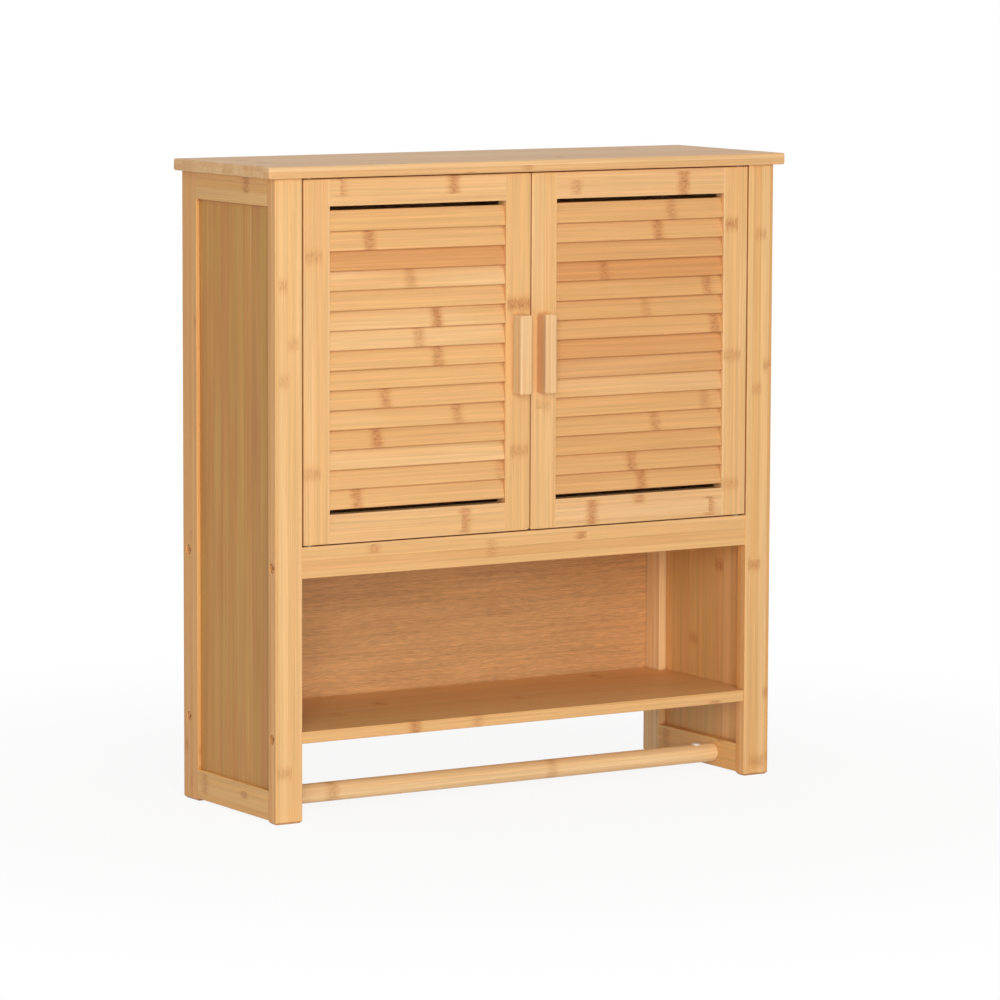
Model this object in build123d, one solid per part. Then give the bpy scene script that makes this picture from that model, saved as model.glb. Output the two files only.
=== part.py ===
from build123d import *
import math
import os

os.makedirs("parts", exist_ok=True)

# A bathroom wall cabinet of laminated bamboo: two louvred doors over an open shelf and a towel bar.
# Millimetres. +Z is up, the doors face -Y and the wall is on +Y.
# The origin is on the ground plane, in the middle of the footprint with the handles counted in.

# Whole cabinet
overall_width = 620.0
overall_depth = 200.0
overall_height = 660.0

# Fits and small breaks of edges
board_fit = 0.2
joint_fit = 0.1
seat_gap = 0.1
edge_ease = 1.0

# Top panel
top_thickness = 12.0
top_side_overhang = 10.0
top_front_overhang = 7.0
top_corner_round = 2.2
top_edge_round = 2.0

# Posts
post_width = 31.0
front_post_depth = 15.0
rear_post_depth = 30.0
foot_chamfer = 2.5

# Side frames and their recessed panels
bottom_side_rail_height = 30.0
top_side_rail_height = 28.0
side_rail_lift = 3.0
side_panel_recess = 4.0
side_panel_thickness = 18.0
tongue_thickness = 6.0
tongue_length = 5.0

# Dowels
dowel_diameter = 8.0
dowel_length = 24.0
dowel_in_post = 9.0
top_dowel_length = 20.0
top_dowel_in_panel = 7.0
top_dowel_inset = 6.0

# Open shelf, bay above it and cabinet floor
shelf_underside = 80.3
shelf_thickness = 12.0
open_bay_height = 155.0
board_front_recess = 1.0
front_rail_height = 32.0
front_rail_depth = 15.0
floor_thickness = 12.0
floor_lift = 6.0

# Back
back_thickness = 5.0
back_rabbet = 5.5
hanging_rail_height = 40.0
hanging_rail_depth = 15.0
wall_hole_diameter = 6.0
wall_hole_spacing = 400.0
wall_sink_diameter = 12.0

# Inner shelf on pins
inner_shelf_underside = 455.0
inner_shelf_thickness = 12.0
inner_shelf_setback = 20.0
inner_shelf_end_gap = 1.5
inner_shelf_back_gap = 2.0
pin_diameter = 5.0
pin_in_panel = 8.0
pin_reach = 9.0
pin_collar_diameter = 7.0
pin_collar = 1.2
pin_row_step = 32.0
pin_row_steps = (-1, 0, 1)
pin_inset = 30.0

# Frame bolts with barrel nuts
bolt_diameter = 5.0
bolt_head_diameter = 10.0
bolt_head = 3.0
bolt_past_nut = 7.0
bolt_sink = 1.5
rear_bolt_from_back = 12.0
socket_width = 4.0
socket_depth = 2.0
nut_diameter = 10.0
nut_length = 9.0
nut_setback = 20.0

# Doors
door_gap = 1.2
door_side_gap = 1.6
door_thickness = 15.0
door_corner_round = 1.2
left_door_free_corner_round = 3.5
stile_width = 30.0
door_top_rail_height = 27.5
door_bottom_rail_height = 29.5
tenon_thickness = 5.0
tenon_length = 11.0
tenon_shoulder = 5.0

# Louvre slats
slat_pitch_wanted = 20.0
slat_thickness = 4.0
slat_air_gap = 0.6
slat_lap = 1.8
slat_recess = 0.5
slat_end_slot = 5.0
slat_tenon = 6.0
slat_round = 1.2

# Door pivots
pivot_setback = 8.9
pivot_from_front = 5.5
pivot_diameter = 4.0
pivot_in_door = 14.0
pivot_in_bushing = 6.0
pivot_clearance = 0.05
bushing_diameter = 6.0
bushing_length = 7.0
flange_diameter = 7.0
flange_air = 0.3
flange_least = 0.5

# Handles
handle_width = 14.0
handle_projection = 16.0
handle_length = 81.0
handle_from_gap = 15.0
handle_middle_z = 462.0
handle_round = 2.0
handle_end_round = 1.5
handle_screw_spacing = 48.0
handle_screw_diameter = 4.0
handle_screw_bite = 10.0
screw_head_diameter = 7.5
screw_head = 2.5
screw_slot_width = 0.9
screw_slot_depth = 1.2

# Door catch
catch_length = 48.0
catch_depth = 14.0
catch_height = 14.0
magnet_length = 10.0
magnet_depth = 8.0
magnet_height = 8.0
magnet_inset_z = 3.0
magnet_proud = 0.5
magnet_spacing = 24.0
magnet_air = 0.3
strike_width = 14.0
strike_height = 12.0
strike_thickness = 1.2
strike_screw_diameter = 2.8
strike_screw_head = 5.6
strike_screw_bite = 10.0
catch_screw_diameter = 3.0
catch_screw_head_diameter = 5.5
catch_screw_head = 1.8
catch_screw_bite = 6.0

# Towel bar and its cam fittings
bar_diameter = 20.0
bar_from_front = 58.0
cam_diameter = 9.0
cam_setback = 22.0
cam_depth = 12.0
cam_proud = 1.0
cam_recess_width = 3.0
cam_recess_depth = 1.5
cam_dowel_diameter = 6.0
cam_dowel_in_rail = 12.0

# Planes and levels that several pieces share
handle_overreach = handle_projection - top_front_overhang
back_y = (overall_depth + handle_overreach) / 2
top_front_y = back_y - overall_depth
front_y = top_front_y + top_front_overhang
side_x = overall_width / 2 - top_side_overhang
inner_x = side_x - post_width
post_top = overall_height - top_thickness
front_post_back_y = front_y + front_post_depth
rear_post_front_y = back_y - rear_post_depth
panel_outer_x = side_x - side_panel_recess
panel_inner_x = panel_outer_x - side_panel_thickness
panel_middle_x = (panel_outer_x + panel_inner_x) / 2
rail_top = side_rail_lift + bottom_side_rail_height
top_rail_bottom = post_top - top_side_rail_height
back_front_y = back_y - back_thickness
board_front_y = front_y + board_front_recess
shelf_top = shelf_underside + shelf_thickness
front_rail_bottom = shelf_top + open_bay_height
front_rail_top = front_rail_bottom + front_rail_height
front_rail_back_y = board_front_y + front_rail_depth
floor_bottom = front_rail_bottom + floor_lift
floor_top = floor_bottom + floor_thickness
rail_centre_x = side_x - post_width / 2
front_post_centre_y = front_y + front_post_depth / 2
rear_post_centre_y = back_y - rear_post_depth / 2
top_dowel_x = inner_x + top_dowel_inset
hanging_rail_bottom = post_top - hanging_rail_height
hanging_rail_front_y = back_front_y - hanging_rail_depth
hanging_rail_centre_y = back_front_y - hanging_rail_depth / 2
wall_hole_z = post_top - hanging_rail_height / 2
door_bottom = front_rail_top + door_gap
door_top = post_top - door_gap
door_free_x = door_gap / 2
door_hinge_x = inner_x - door_side_gap
door_back_y = front_y + door_thickness
door_centre_y = front_y + door_thickness / 2
opening_near_x = door_free_x + stile_width
opening_far_x = door_hinge_x - stile_width
opening_bottom = door_bottom + door_bottom_rail_height
opening_top = door_top - door_top_rail_height
pivot_x = door_hinge_x - pivot_setback
pivot_y = front_y + pivot_from_front
bolt_levels = (shelf_underside + shelf_thickness / 2, floor_bottom + floor_thickness / 2)
bolt_rows = (front_post_centre_y, back_y - rear_bolt_from_back)
inner_shelf_front_y = door_back_y + inner_shelf_setback
inner_shelf_back_y = back_front_y - inner_shelf_back_gap
pin_level = inner_shelf_underside - seat_gap - pin_diameter / 2
bar_y = front_y + bar_from_front
bar_z = side_rail_lift + bottom_side_rail_height / 2

# Louvre pattern: whole slats fill the opening between two equal end slots
slat_room = opening_top - opening_bottom - 2 * slat_end_slot
slat_count = max(1, round(slat_room / slat_pitch_wanted))
slat_pitch = slat_room / slat_count
slat_tilt = math.asin((slat_thickness + slat_air_gap) / slat_pitch)
slat_width = slat_pitch * math.cos(slat_tilt) + slat_lap


# Helpers
def block(x0, x1, y0, y1, z0, z1):
    """A box between two opposite corners."""
    centre = Pos((x0 + x1) / 2, (y0 + y1) / 2, (z0 + z1) / 2)
    return centre * Box(x1 - x0, y1 - y0, z1 - z0)


def rod_x(x0, x1, y, z, diameter):
    """A round rod along X."""
    return Pos((x0 + x1) / 2, y, z) * Rot(0, 90, 0) * Cylinder(diameter / 2, abs(x1 - x0))


def rod_y(x, y0, y1, z, diameter):
    """A round rod along Y."""
    return Pos(x, (y0 + y1) / 2, z) * Rot(90, 0, 0) * Cylinder(diameter / 2, abs(y1 - y0))


def rod_z(x, y, z0, z1, diameter):
    """A round rod along Z."""
    return Pos(x, y, (z0 + z1) / 2) * Cylinder(diameter / 2, abs(z1 - z0))


def ease(part, axis, radius=edge_ease):
    """Round the edges that run along an axis."""
    return fillet(part.edges().filter_by(axis), radius)


def cut_all(part, cutters):
    """Take each cutter out of the part."""
    for cutter in cutters:
        part -= cutter
    return part


def left_of(part):
    """The same piece on the left side."""
    return mirror(part, about=Plane.YZ)


def save(name, *solids):
    """Write one node, which may be a group of separate solids."""
    shape = solids[0] if len(solids) == 1 else Compound(children=list(solids))
    export_step(shape, f"parts/{name}.step")


def save_pair(name, part):
    """Write a right-hand piece and its left-hand twin."""
    save(f"right_{name}", part)
    save(f"left_{name}", left_of(part))


# Bolts and dowels as cutters
def bolt_cutters():
    """Clearance for the frame bolts, through the posts and into the boards."""
    hole = bolt_diameter + 2 * board_fit
    tip_x = inner_x - nut_setback - bolt_past_nut - board_fit
    cutters = []
    for y in bolt_rows:
        for z in bolt_levels:
            cutters.append(rod_x(tip_x, side_x, y, z, hole))
            seat_x = side_x - bolt_sink - bolt_head
            cutters.append(rod_x(seat_x, side_x, y, z, bolt_head_diameter + 2 * joint_fit))
    return cutters


def nut_top(z):
    """Top of the barrel nut that a bolt at this level screws into."""
    return z + nut_length / 2


def nut_cutters(y, z, underside):
    """A blind hole from the underside of a board, for one barrel nut."""
    return rod_z(inner_x - nut_setback, y, underside, nut_top(z), nut_diameter + 2 * joint_fit)


def rail_dowel_spans():
    """Where the side rail dowels run along Y, front and rear."""
    front = (front_post_back_y - dowel_in_post, front_post_back_y - dowel_in_post + dowel_length)
    rear = (rear_post_front_y + dowel_in_post - dowel_length, rear_post_front_y + dowel_in_post)
    return front, rear


def rail_dowels(grow=0.0):
    """The dowels of one side frame. A cutter is a little larger."""
    levels = (bar_z, post_top - top_side_rail_height / 2)
    rods = []
    for y0, y1 in rail_dowel_spans():
        for z in levels:
            rods.append(rod_y(rail_centre_x, y0 - grow, y1 + grow, z, dowel_diameter + 2 * grow))
    return rods


def top_dowels(grow=0.0):
    """The dowels between the posts of one side and the top panel."""
    top = post_top + top_dowel_in_panel
    rods = []
    for y in (front_post_centre_y, rear_post_centre_y):
        rods.append(rod_z(top_dowel_x, y, top - top_dowel_length - grow, top + grow,
                          dowel_diameter + 2 * grow))
    return rods


def hanging_dowel(grow=0.0):
    """The dowel between the hanging rail and one rear post."""
    outer = inner_x + dowel_in_post
    middle_z = wall_hole_z
    return rod_x(outer - dowel_length - grow, outer + grow, hanging_rail_centre_y, middle_z,
                 dowel_diameter + 2 * grow)


# Side frames
def panel_tongue(grow=0.0):
    """The tongue round a side panel, which seats in the grooves of the posts and rails."""
    reach = tongue_length + grow
    return block(panel_middle_x - tongue_thickness / 2 - grow, panel_middle_x + tongue_thickness / 2 + grow,
                 front_post_back_y - reach, rear_post_front_y + reach,
                 rail_top - reach, top_rail_bottom + reach)


def post(y0, y1):
    """One right-hand post with chamfered foot, before its own joints are cut."""
    part = block(inner_x, side_x, y0, y1, 0, post_top)
    part = chamfer(part.faces().sort_by(Axis.Z)[0].edges(), foot_chamfer)
    part = ease(part, Axis.Z)
    joints = bolt_cutters() + rail_dowels(joint_fit) + top_dowels(joint_fit) + [panel_tongue(joint_fit)]
    return cut_all(part, joints)


front_post = post(front_y, front_post_back_y)

rear_post = post(rear_post_front_y, back_y)
rear_post -= block(0, inner_x + back_rabbet + board_fit, back_front_y - joint_fit, back_y + back_thickness,
                   shelf_underside - board_fit, post_top)
rear_post -= hanging_dowel(joint_fit)

save_pair("front_post", front_post)
save_pair("rear_post", rear_post)


def side_rail(z0, z1):
    """One right-hand side rail between the posts."""
    part = block(inner_x, side_x, front_post_back_y, rear_post_front_y, z0, z1)
    part = ease(part, Axis.Y)
    part = cut_all(part, rail_dowels(joint_fit) + [panel_tongue(joint_fit)])
    return part


bottom_side_rail = side_rail(side_rail_lift, rail_top)
bottom_side_rail -= rod_x(inner_x, inner_x + cam_dowel_in_rail + joint_fit, bar_y, bar_z,
                          cam_dowel_diameter + 2 * joint_fit)
save_pair("bottom_side_rail", bottom_side_rail)
save_pair("top_side_rail", side_rail(top_rail_bottom, post_top))


# Side panels, with rows of shelf pin holes
pin_columns = (inner_shelf_front_y + pin_inset, rear_post_front_y - pin_inset)


def side_panel():
    """The right-hand side panel: a board with a tongue all round."""
    part = block(panel_inner_x, panel_outer_x, front_post_back_y, rear_post_front_y,
                 rail_top, top_rail_bottom)
    part += panel_tongue()
    for y in pin_columns:
        for step in pin_row_steps:
            z = pin_level + step * pin_row_step
            part -= rod_x(panel_inner_x, panel_inner_x + pin_in_panel + seat_gap, y, z,
                          pin_diameter + 2 * joint_fit)
    return part


save_pair("side_panel", side_panel())


def shelf_pin(y):
    """One right-hand shelf pin with its collar."""
    pin = rod_x(panel_inner_x - pin_reach, panel_inner_x + pin_in_panel, y, pin_level, pin_diameter)
    collar = rod_x(panel_inner_x - pin_collar, panel_inner_x, y, pin_level, pin_collar_diameter)
    collar -= block(0, side_x, y - pin_collar_diameter, y + pin_collar_diameter,
                    inner_shelf_underside - seat_gap, inner_shelf_underside + pin_collar_diameter)
    return pin + collar


right_pins = [shelf_pin(y) for y in pin_columns]
save("shelf_pins", *right_pins, *[left_of(pin) for pin in right_pins])


# Top panel
def both_sides(parts):
    """Right-hand parts together with their left-hand twins."""
    return parts + [left_of(part) for part in parts]


top_panel = block(-overall_width / 2, overall_width / 2, top_front_y, back_y, post_top, overall_height)
top_panel = ease(top_panel, Axis.Z, top_corner_round)
top_panel = fillet(top_panel.faces().sort_by(Axis.Z)[-1].edges(), top_edge_round)
top_panel = fillet(top_panel.faces().sort_by(Axis.Z)[0].edges(), top_edge_round)
upper_bushing_hole = rod_z(pivot_x, pivot_y, post_top, post_top + bushing_length + seat_gap,
                           bushing_diameter + 2 * joint_fit)
top_panel = cut_all(top_panel, both_sides(top_dowels(joint_fit) + [upper_bushing_hole]))
catch_screw_x = catch_length / 2 - catch_screw_head_diameter / 2 - 1.0
catch_back_y = door_back_y + strike_thickness + magnet_air + magnet_proud + catch_depth
catch_centre_y = catch_back_y - catch_depth / 2
for x in (-catch_screw_x, catch_screw_x):
    top_panel -= rod_z(x, catch_centre_y, post_top, post_top + catch_screw_bite + seat_gap,
                       catch_screw_diameter + 2 * joint_fit)
save("top_panel", top_panel)


# Boards between the side frames
def notched_board(y0, y1, z0, z1, outer_x):
    """A board between the side panels, cut back where the posts stand."""
    part = block(-outer_x, outer_x, y0, y1, z0, z1)
    post_x = inner_x - board_fit
    if y0 < front_post_back_y:
        corner = block(post_x, overall_width, y0 - board_fit, front_post_back_y + board_fit, z0, z1)
        part = cut_all(part, both_sides([corner]))
    if y1 > rear_post_front_y:
        corner = block(post_x, overall_width, rear_post_front_y - board_fit, y1 + board_fit, z0, z1)
        part = cut_all(part, both_sides([corner]))
    return part


def ease_front(part, y, radius=edge_ease):
    """Round the long front edges of a board, which lie at depth y."""
    edges = part.edges().filter_by(Axis.X).filter_by_position(Axis.Y, y - 0.01, y + 0.01)
    return fillet(edges, radius)


board_end_x = panel_inner_x - board_fit

open_shelf = notched_board(board_front_y, back_front_y, shelf_underside, shelf_top, board_end_x)
open_shelf = ease_front(open_shelf, board_front_y)
shelf_nuts = [nut_cutters(y, bolt_levels[0], shelf_underside) for y in bolt_rows]
open_shelf = cut_all(open_shelf, both_sides(bolt_cutters() + shelf_nuts))
save("open_shelf", open_shelf)

cabinet_floor = notched_board(front_rail_back_y, back_front_y, floor_bottom, floor_top, board_end_x)
floor_nut = nut_cutters(bolt_rows[1], bolt_levels[1], floor_bottom)
cabinet_floor = cut_all(cabinet_floor, both_sides(bolt_cutters() + [floor_nut]))
save("cabinet_floor", cabinet_floor)

front_rail = block(-inner_x, inner_x, board_front_y, front_rail_back_y, front_rail_bottom, front_rail_top)
front_rail = ease_front(front_rail, board_front_y)
rail_nut = nut_cutters(bolt_rows[0], bolt_levels[1], front_rail_bottom)
lower_bushing_hole = rod_z(pivot_x, pivot_y, front_rail_top - bushing_length - seat_gap, front_rail_top,
                           bushing_diameter + 2 * joint_fit)
front_rail = cut_all(front_rail, both_sides(bolt_cutters() + [rail_nut, lower_bushing_hole]))
save("front_rail", front_rail)

inner_shelf = notched_board(inner_shelf_front_y, inner_shelf_back_y, inner_shelf_underside,
                            inner_shelf_underside + inner_shelf_thickness, panel_inner_x - inner_shelf_end_gap)
inner_shelf = ease_front(inner_shelf, inner_shelf_front_y)
save("inner_shelf", inner_shelf)


# Back panel and hanging rail, with the wall screw holes
def wall_hole(y0, y1):
    """The right-hand wall screw hole."""
    return rod_y(wall_hole_spacing / 2, y0, y1, wall_hole_z, wall_hole_diameter)


back_panel = block(-inner_x - back_rabbet, inner_x + back_rabbet, back_front_y, back_y,
                   shelf_underside, post_top)
back_panel = cut_all(back_panel, both_sides([wall_hole(back_front_y, back_y)]))
save("back_panel", back_panel)

sink_depth = (wall_sink_diameter - wall_hole_diameter) / 2
sink = Pos(wall_hole_spacing / 2, hanging_rail_front_y + sink_depth / 2, wall_hole_z) * Rot(90, 0, 0) * Cone(
    wall_hole_diameter / 2, wall_sink_diameter / 2, sink_depth)
hanging_rail = block(-inner_x, inner_x, hanging_rail_front_y, back_front_y, hanging_rail_bottom, post_top)
hanging_rail = ease_front(hanging_rail, hanging_rail_front_y)
hanging_cutters = [wall_hole(hanging_rail_front_y, back_front_y), sink, hanging_dowel(joint_fit)]
hanging_rail = cut_all(hanging_rail, both_sides(hanging_cutters))
save("hanging_rail", hanging_rail)

# Dowels
save("side_rail_dowels", *both_sides(rail_dowels()))
save("top_panel_dowels", *both_sides(top_dowels()))
save("hanging_rail_dowels", *both_sides([hanging_dowel()]))


# Frame bolts and barrel nuts
def hexagon(x0, x1, y, z, width):
    """A hexagonal recess along X."""
    shape = extrude(RegularPolygon(width / 2, 6, major_radius=False), x1 - x0)
    return Pos(x0, y, z) * Rot(0, 90, 0) * shape


def frame_bolt(y, z):
    """One right-hand frame bolt, with its flat head sunk a little into the post."""
    face_x = side_x - bolt_sink
    head = rod_x(face_x - bolt_head, face_x, y, z, bolt_head_diameter)
    shank = rod_x(inner_x - nut_setback - bolt_past_nut, face_x - bolt_head, y, z, bolt_diameter)
    return head + shank - hexagon(face_x - socket_depth, face_x, y, z, socket_width)


def barrel_nut(y, z):
    """One right-hand barrel nut, crossed by its bolt."""
    nut = rod_z(inner_x - nut_setback, y, z - nut_length / 2, z + nut_length / 2 - seat_gap, nut_diameter)
    reach = nut_diameter
    centre = inner_x - nut_setback
    return nut - rod_x(centre - reach, centre + reach, y, z, bolt_diameter + 2 * joint_fit)


bolts = [frame_bolt(y, z) for y in bolt_rows for z in bolt_levels]
nuts = [barrel_nut(y, z) for y in bolt_rows for z in bolt_levels]
save("frame_bolts", *both_sides(bolts))
save("barrel_nuts", *both_sides(nuts))


# Towel bar
cam_x = inner_x - cam_setback
cam_top = bar_z + bar_diameter / 2 + cam_proud
cam_bottom = cam_top - cam_depth
cam_dowel_tip = cam_x + cam_diameter / 2 + seat_gap + joint_fit

towel_bar = rod_x(-inner_x, inner_x, bar_y, bar_z, bar_diameter)
cam_hole = rod_z(cam_x, bar_y, cam_bottom - seat_gap, cam_top + cam_depth, cam_diameter + 2 * joint_fit)
cam_dowel_hole = rod_x(cam_x, inner_x, bar_y, bar_z, cam_dowel_diameter + 2 * joint_fit)
towel_bar = cut_all(towel_bar, both_sides([cam_hole, cam_dowel_hole]))
save("towel_bar", towel_bar)

cam = rod_z(cam_x, bar_y, cam_bottom, cam_top, cam_diameter)
cam = fillet(cam.faces().sort_by(Axis.Z)[-1].edges(), cam_proud / 2)
cam -= block(cam_x - cam_recess_width / 2, cam_x + cam_recess_width / 2,
             bar_y - cam_recess_width / 6, bar_y + cam_recess_width / 6, cam_top - cam_recess_depth, cam_top)
cam -= block(cam_x - cam_recess_width / 6, cam_x + cam_recess_width / 6,
             bar_y - cam_recess_width / 2, bar_y + cam_recess_width / 2, cam_top - cam_recess_depth, cam_top)
save("towel_bar_cams", *both_sides([cam]))

cam_dowel = rod_x(cam_dowel_tip, inner_x + cam_dowel_in_rail, bar_y, bar_z, cam_dowel_diameter)
save("towel_bar_cam_dowels", *both_sides([cam_dowel]))


# Doors, built on the right
def corners_from_free_foot(board):
    """The corner edges of a door board, the one at the foot of its free side first."""
    return board.edges().filter_by(Axis.Y).sort_by(lambda edge: edge.center().X + edge.center().Z)


def door_outline(free_corner_round=door_corner_round):
    """The whole door as one board with rounded corners and edges. Each frame member is cut from it."""
    board = block(door_free_x, door_hinge_x, front_y, door_back_y, door_bottom, door_top)
    board = fillet(corners_from_free_foot(board)[1:], door_corner_round)
    board = fillet(corners_from_free_foot(board)[0], free_corner_round)
    board = fillet(board.faces().sort_by(Axis.Y)[0].edges(), edge_ease)
    return fillet(board.faces().sort_by(Axis.Y)[-1].edges(), edge_ease)


def rail_tenons(z0, z1, grow=0.0):
    """The two tenons of a door rail, or the mortises for them."""
    y0 = door_centre_y - tenon_thickness / 2 - grow
    y1 = door_centre_y + tenon_thickness / 2 + grow
    low = z0 + tenon_shoulder - grow
    high = z1 - tenon_shoulder + grow
    reach = tenon_length + grow
    near = block(opening_near_x - reach, opening_near_x, y0, y1, low, high)
    far = block(opening_far_x, opening_far_x + reach, y0, y1, low, high)
    return [near, far]


def slat_place(index):
    """Where the middle of a slat lies. The first slat is the lowest."""
    half_t = slat_thickness / 2
    half_w = slat_width / 2
    y = front_y + slat_recess + half_t * math.cos(slat_tilt) + half_w * math.sin(slat_tilt)
    low = opening_bottom + slat_end_slot + index * slat_pitch
    z = low - half_t * math.sin(slat_tilt) + half_w * math.cos(slat_tilt)
    return Pos((opening_near_x + opening_far_x) / 2, y, z) * Rot(-math.degrees(slat_tilt), 0, 0)


def slat_length(grow=0.0):
    """Length of a slat with the ends that sit in the stiles."""
    return opening_far_x - opening_near_x + 2 * (slat_tenon + grow)


def slat(index):
    """One louvre slat with rounded long edges."""
    board = Box(slat_length(), slat_thickness, slat_width)
    return slat_place(index) * ease(board, Axis.X, min(slat_round, slat_thickness / 2.5))


def slat_mortise(index):
    """The slanted socket for both ends of one slat."""
    cutter = Box(slat_length(joint_fit), slat_thickness + 2 * joint_fit, slat_width + 2 * joint_fit)
    return slat_place(index) * cutter


handle_screw_levels = (handle_middle_z - handle_screw_spacing / 2, handle_middle_z + handle_screw_spacing / 2)
handle_x = handle_from_gap


def screw_slots(x, z, y, depth, width, length):
    """A cross recess cut into a screw head whose face is at depth y and looks to +Y."""
    flat = block(x - length / 2, x + length / 2, y - depth, y, z - width / 2, z + width / 2)
    upright = block(x - width / 2, x + width / 2, y - depth, y, z - length / 2, z + length / 2)
    return [flat, upright]


outline = door_outline()
mortises = [slat_mortise(index) for index in range(slat_count)]
bottom_mortises = rail_tenons(door_bottom, opening_bottom, joint_fit)
top_mortises = rail_tenons(opening_top, door_top, joint_fit)

outer_stile = outline & block(opening_far_x, door_hinge_x, front_y, door_back_y, door_bottom, door_top)
outer_stile = cut_all(outer_stile, mortises + bottom_mortises + top_mortises)
pin_hole = pivot_diameter + 2 * joint_fit
outer_stile -= rod_z(pivot_x, pivot_y, door_bottom, door_bottom + pivot_in_door + seat_gap, pin_hole)
outer_stile -= rod_z(pivot_x, pivot_y, door_top - pivot_in_door - seat_gap, door_top, pin_hole)
save_pair("door_outer_stile", outer_stile)

strike_z = door_top - door_gap - strike_height / 2
strike_x = magnet_spacing / 2
strike_screw_hole = rod_y(strike_x, door_back_y - strike_screw_bite - seat_gap, door_back_y, strike_z,
                          strike_screw_diameter + 2 * joint_fit)
handle_screw_holes = [rod_y(handle_x, front_y, door_back_y, z, handle_screw_diameter + 2 * board_fit)
                      for z in handle_screw_levels]


def inner_stile(board):
    """The stile that carries the handle, cut from a door outline."""
    part = board & block(door_free_x, opening_near_x, front_y, door_back_y, door_bottom, door_top)
    part = cut_all(part, mortises + bottom_mortises + top_mortises)
    return cut_all(part, handle_screw_holes + [strike_screw_hole])


save("right_door_inner_stile", inner_stile(outline))
save("left_door_inner_stile", left_of(inner_stile(door_outline(left_door_free_corner_round))))


def door_rail(z0, z1):
    """A door rail with its tenons."""
    part = outline & block(opening_near_x, opening_far_x, front_y, door_back_y, z0, z1)
    for tenon in rail_tenons(z0, z1):
        part += tenon
    return part


save_pair("door_bottom_rail", door_rail(door_bottom, opening_bottom))
save_pair("door_top_rail", door_rail(opening_top, door_top))

right_slats = [slat(index) for index in range(slat_count)]
save("right_door_slats", *right_slats)
save("left_door_slats", *[left_of(part) for part in right_slats])


# Handles
def handle():
    """A bar handle with rounded front edges, flat against the stile."""
    deep = handle_projection + 2 * handle_end_round
    bar = Box(handle_width, deep, handle_length)
    bar = ease(bar, Axis.Z, min(handle_round, handle_width / 2.5))
    bar = fillet(bar.faces().sort_by(Axis.Z)[-1].edges(), handle_end_round)
    bar = fillet(bar.faces().sort_by(Axis.Z)[0].edges(), handle_end_round)
    bar = Pos(handle_x, front_y - handle_projection + deep / 2, handle_middle_z) * bar
    bar -= block(0, overall_width, front_y, front_y + deep, door_bottom, door_top)
    for z in handle_screw_levels:
        bar -= rod_y(handle_x, front_y - handle_screw_bite - seat_gap, front_y, z,
                     handle_screw_diameter + 2 * joint_fit)
    return bar


def handle_screw(z):
    """One handle screw, driven from behind the stile."""
    head = rod_y(handle_x, door_back_y, door_back_y + screw_head, z, screw_head_diameter)
    head = chamfer(head.faces().sort_by(Axis.Y)[-1].edges(), screw_head / 3)
    shank = rod_y(handle_x, front_y - handle_screw_bite, door_back_y, z, handle_screw_diameter)
    slots = screw_slots(handle_x, z, door_back_y + screw_head, screw_slot_depth, screw_slot_width,
                        screw_head_diameter * 0.6)
    return cut_all(head + shank, slots)


save_pair("door_handle", handle())
right_screws = [handle_screw(z) for z in handle_screw_levels]
save("right_handle_screws", *right_screws)
save("left_handle_screws", *[left_of(part) for part in right_screws])

# Pivots
flange_height = max(door_gap - flange_air, flange_least)
bore = pivot_diameter + 2 * pivot_clearance

lower_pin = rod_z(pivot_x, pivot_y, front_rail_top - pivot_in_bushing, door_bottom + pivot_in_door,
                  pivot_diameter)
upper_pin = rod_z(pivot_x, pivot_y, door_top - pivot_in_door, post_top + pivot_in_bushing,
                  pivot_diameter)
save("right_door_pivot_pins", lower_pin, upper_pin)
save("left_door_pivot_pins", left_of(lower_pin), left_of(upper_pin))


def bushing(seat_z, way):
    """The right-hand flanged bushing on the level seat_z, sunk downwards for way -1 and upwards for 1."""
    sleeve = rod_z(pivot_x, pivot_y, seat_z, seat_z + way * bushing_length, bushing_diameter)
    flange = rod_z(pivot_x, pivot_y, seat_z, seat_z - way * flange_height, flange_diameter)
    hole_end_z = seat_z + way * (pivot_in_bushing + flange_air)
    hole = rod_z(pivot_x, pivot_y, seat_z - way * door_gap, hole_end_z, bore)
    return sleeve + flange - hole


save("lower_pivot_bushings", *both_sides([bushing(front_rail_top, -1)]))
save("upper_pivot_bushings", *both_sides([bushing(post_top, 1)]))

# Door catch under the top panel, with one magnet for each door
catch_bottom = post_top - catch_height
magnet_front_y = catch_back_y - catch_depth - magnet_proud
magnet_bottom = catch_bottom + magnet_inset_z


def magnet(grow=0.0):
    """The right-hand magnet, or the pocket for it."""
    half = magnet_length / 2 + grow
    return block(strike_x - half, strike_x + half, magnet_front_y, magnet_front_y + magnet_depth + grow,
                 magnet_bottom - grow, magnet_bottom + magnet_height + grow)


def catch_screw():
    """The right-hand catch screw, driven up into the top panel."""
    head = rod_z(catch_screw_x, catch_centre_y, catch_bottom - catch_screw_head, catch_bottom,
                 catch_screw_head_diameter)
    shank = rod_z(catch_screw_x, catch_centre_y, catch_bottom, post_top + catch_screw_bite, catch_screw_diameter)
    return head + shank


catch_body = block(-catch_length / 2, catch_length / 2, catch_back_y - catch_depth, catch_back_y,
                   catch_bottom, post_top)
catch_body = ease(catch_body, Axis.Z, edge_ease)
catch_screw_hole = rod_z(catch_screw_x, catch_centre_y, catch_bottom, post_top,
                         catch_screw_diameter + 2 * joint_fit)
catch_body = cut_all(catch_body, both_sides([magnet(joint_fit), catch_screw_hole]))
save("catch_body", catch_body)
save("catch_magnets", *both_sides([magnet()]))
save("catch_screws", *both_sides([catch_screw()]))

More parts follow.
